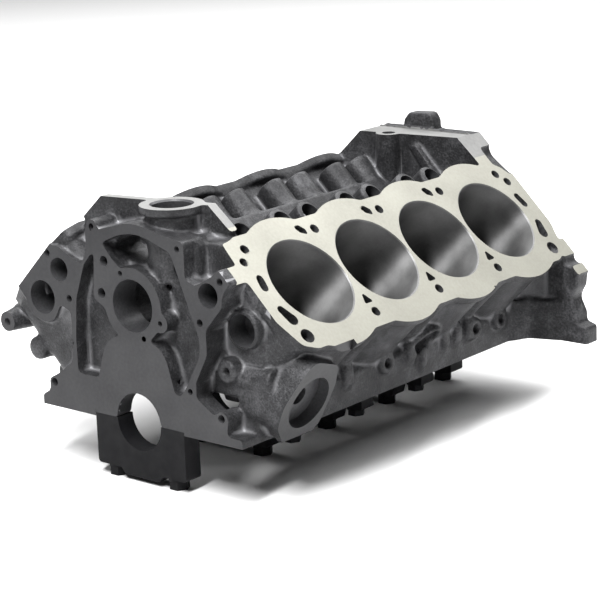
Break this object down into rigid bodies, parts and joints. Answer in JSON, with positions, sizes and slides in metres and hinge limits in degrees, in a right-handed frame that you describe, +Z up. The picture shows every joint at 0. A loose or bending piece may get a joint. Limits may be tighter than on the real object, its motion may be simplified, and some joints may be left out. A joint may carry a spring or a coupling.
{
  "type": "engine block",
  "caption": "Bare cast-iron V-engine cylinder block with machined decks, lifter valley, timing face, bell-housing flange and bolted steel main bearing caps.",
  "frame": {"origin": "crankshaft axis at the machined front face", "axes": "+X towards the driver's bank, +Y rearward along the crankshaft, +Z up between the banks"},
  "size_m": [0.456, 0.5303, 0.3168],
  "materials": {
    "casting": "rough as-cast, machined faces pale grey",
    "cap": "black oxide",
    "fastener": "black oxide"
  },
  "bodies": {
    "root": {"cylinder_block": "casting", "main_cap_1": "cap", "main_cap_2": "cap", "main_cap_3": "cap", "main_cap_4": "cap", "main_cap_5": "cap", "cap_1_bolts": "fastener", "cap_1_washers": "fastener", "cap_2_bolts": "fastener", "cap_2_washers": "fastener", "cap_2_outer_bolts": "fastener", "cap_2_outer_washers": "fastener", "cap_3_bolts": "fastener", "cap_3_washers": "fastener", "cap_3_outer_bolts": "fastener", "cap_3_outer_washers": "fastener", "cap_4_bolts": "fastener", "cap_4_washers": "fastener", "cap_4_outer_bolts": "fastener", "cap_4_outer_washers": "fastener", "cap_5_bolts": "fastener", "cap_5_washers": "fastener"}
  },
  "joints": []
}
